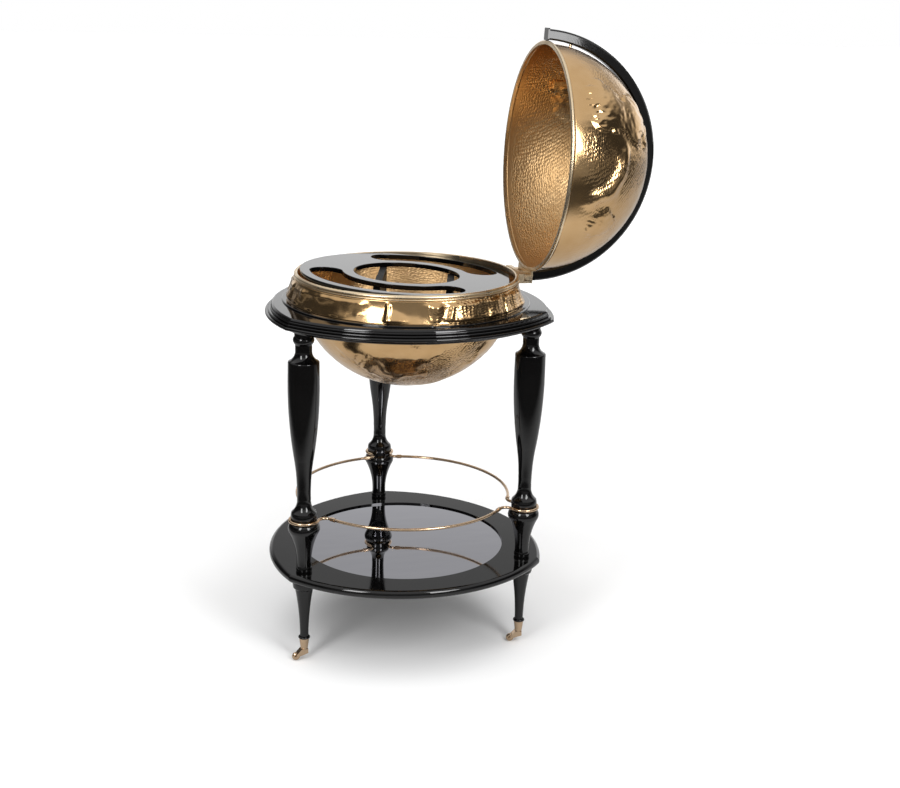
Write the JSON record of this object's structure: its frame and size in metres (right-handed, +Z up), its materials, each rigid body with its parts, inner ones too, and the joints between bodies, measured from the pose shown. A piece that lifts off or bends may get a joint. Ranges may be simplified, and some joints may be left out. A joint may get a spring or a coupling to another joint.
{
  "type": "floor globe bar",
  "caption": "Floor-standing globe bar: a brass globe that hinges open over a lift-out bar tray, held by a three-legged lacquered stand with a glazed shelf, gallery rail and castors.",
  "frame": {"origin": "on the floor, on the upright axis of the globe", "axes": "+Z up, +X towards the lid's hinge, +Y towards the back leg"},
  "size_m": [1.0586, 0.7776, 1.6646],
  "materials": {
    "black_lacquer": "black lacquer rubbed to a high gloss over wood",
    "hammered_brass": "hand-hammered polished brass sheet",
    "polished_brass": "polished brass",
    "steel": "plain steel",
    "smoked_mirror": "smoked grey mirror glass"
  },
  "bodies": {
    "stand": {"board_stretchers": "black_lacquer", "bowl": "hammered_brass", "bowl_clips": "polished_brass", "bowl_rim": "polished_brass", "bowl_seat": "black_lacquer", "bowl_skirt": "hammered_brass", "castor_cup_back": "polished_brass", "castor_cup_front_left": "polished_brass", "castor_cup_front_right": "polished_brass", "clip_screws": "steel", "foot_back": "black_lacquer", "foot_front_left": "black_lacquer", "foot_front_right": "black_lacquer", "hinge_bowl_leaf": "polished_brass", "hinge_pin": "polished_brass", "horizon_ring": "black_lacquer", "leg_back": "black_lacquer", "leg_front_left": "black_lacquer", "leg_front_right": "black_lacquer", "leg_ring_rods": "steel", "leg_tie_rods": "steel", "rail_arc_back": "polished_brass", "rail_arc_front_left": "polished_brass", "rail_arc_front_right": "polished_brass", "rail_loop_back": "polished_brass", "rail_loop_front_left": "polished_brass", "rail_loop_front_right": "polished_brass", "rail_sleeves": "polished_brass", "shelf": "black_lacquer", "shelf_glass": "smoked_mirror", "tray_board_left": "black_lacquer", "tray_board_right": "black_lacquer"},
    "lid": {"lid_dome": "hammered_brass", "lid_rim": "polished_brass", "hinge_lid_leaf": "polished_brass", "meridian_band": "black_lacquer", "band_studs": "polished_brass", "band_lip": "black_lacquer"},
    "tray": {"tray": "black_lacquer"},
    "castor_back": {"castor_horn_back": "polished_brass", "castor_axle_back": "polished_brass"},
    "wheel_back": {"castor_wheel_back": "polished_brass"},
    "castor_front_left": {"castor_horn_front_left": "polished_brass", "castor_axle_front_left": "polished_brass"},
    "wheel_front_left": {"castor_wheel_front_left": "polished_brass"},
    "castor_front_right": {"castor_horn_front_right": "polished_brass", "castor_axle_front_right": "polished_brass"},
    "wheel_front_right": {"castor_wheel_front_right": "polished_brass"}
  },
  "joints": [
    {"name": "lid_hinge", "type": "hinge", "parent": "stand", "child": "lid", "pos_m": [0.316, 0, 1.0143], "axis": [0, 1, 0], "range_deg": [-92.87, 0]},
    {"name": "tray_lift", "type": "slide", "parent": "stand", "child": "tray", "axis": [0, 0, 1], "range_m": [0, 0.06]},
    {"name": "castor_swivel_back", "type": "hinge", "parent": "stand", "child": "castor_back", "pos_m": [0, 0.348, 0.032], "axis": [0, 0, 1], "continuous": true},
    {"name": "wheel_roll_back", "type": "hinge", "parent": "castor_back", "child": "wheel_back", "pos_m": [-0.01992, 0.3595, 0.011], "axis": [0.5, 0.866, 0], "continuous": true},
    {"name": "castor_swivel_front_left", "type": "hinge", "parent": "stand", "child": "castor_front_left", "pos_m": [-0.30138, -0.174, 0.032], "axis": [0, 0, 1], "continuous": true},
    {"name": "wheel_roll_front_left", "type": "hinge", "parent": "castor_front_left", "child": "wheel_front_left", "pos_m": [-0.32425, -0.1764, 0.011], "axis": [-0.1045, 0.9945, 0], "continuous": true},
    {"name": "castor_swivel_front_right", "type": "hinge", "parent": "stand", "child": "castor_front_right", "pos_m": [0.30138, -0.174, 0.032], "axis": [0, 0, 1], "continuous": true},
    {"name": "wheel_roll_front_right", "type": "hinge", "parent": "castor_front_right", "child": "wheel_front_right", "pos_m": [0.27873, -0.17001, 0.011], "axis": [0.1736, 0.9848, 0], "continuous": true}
  ]
}
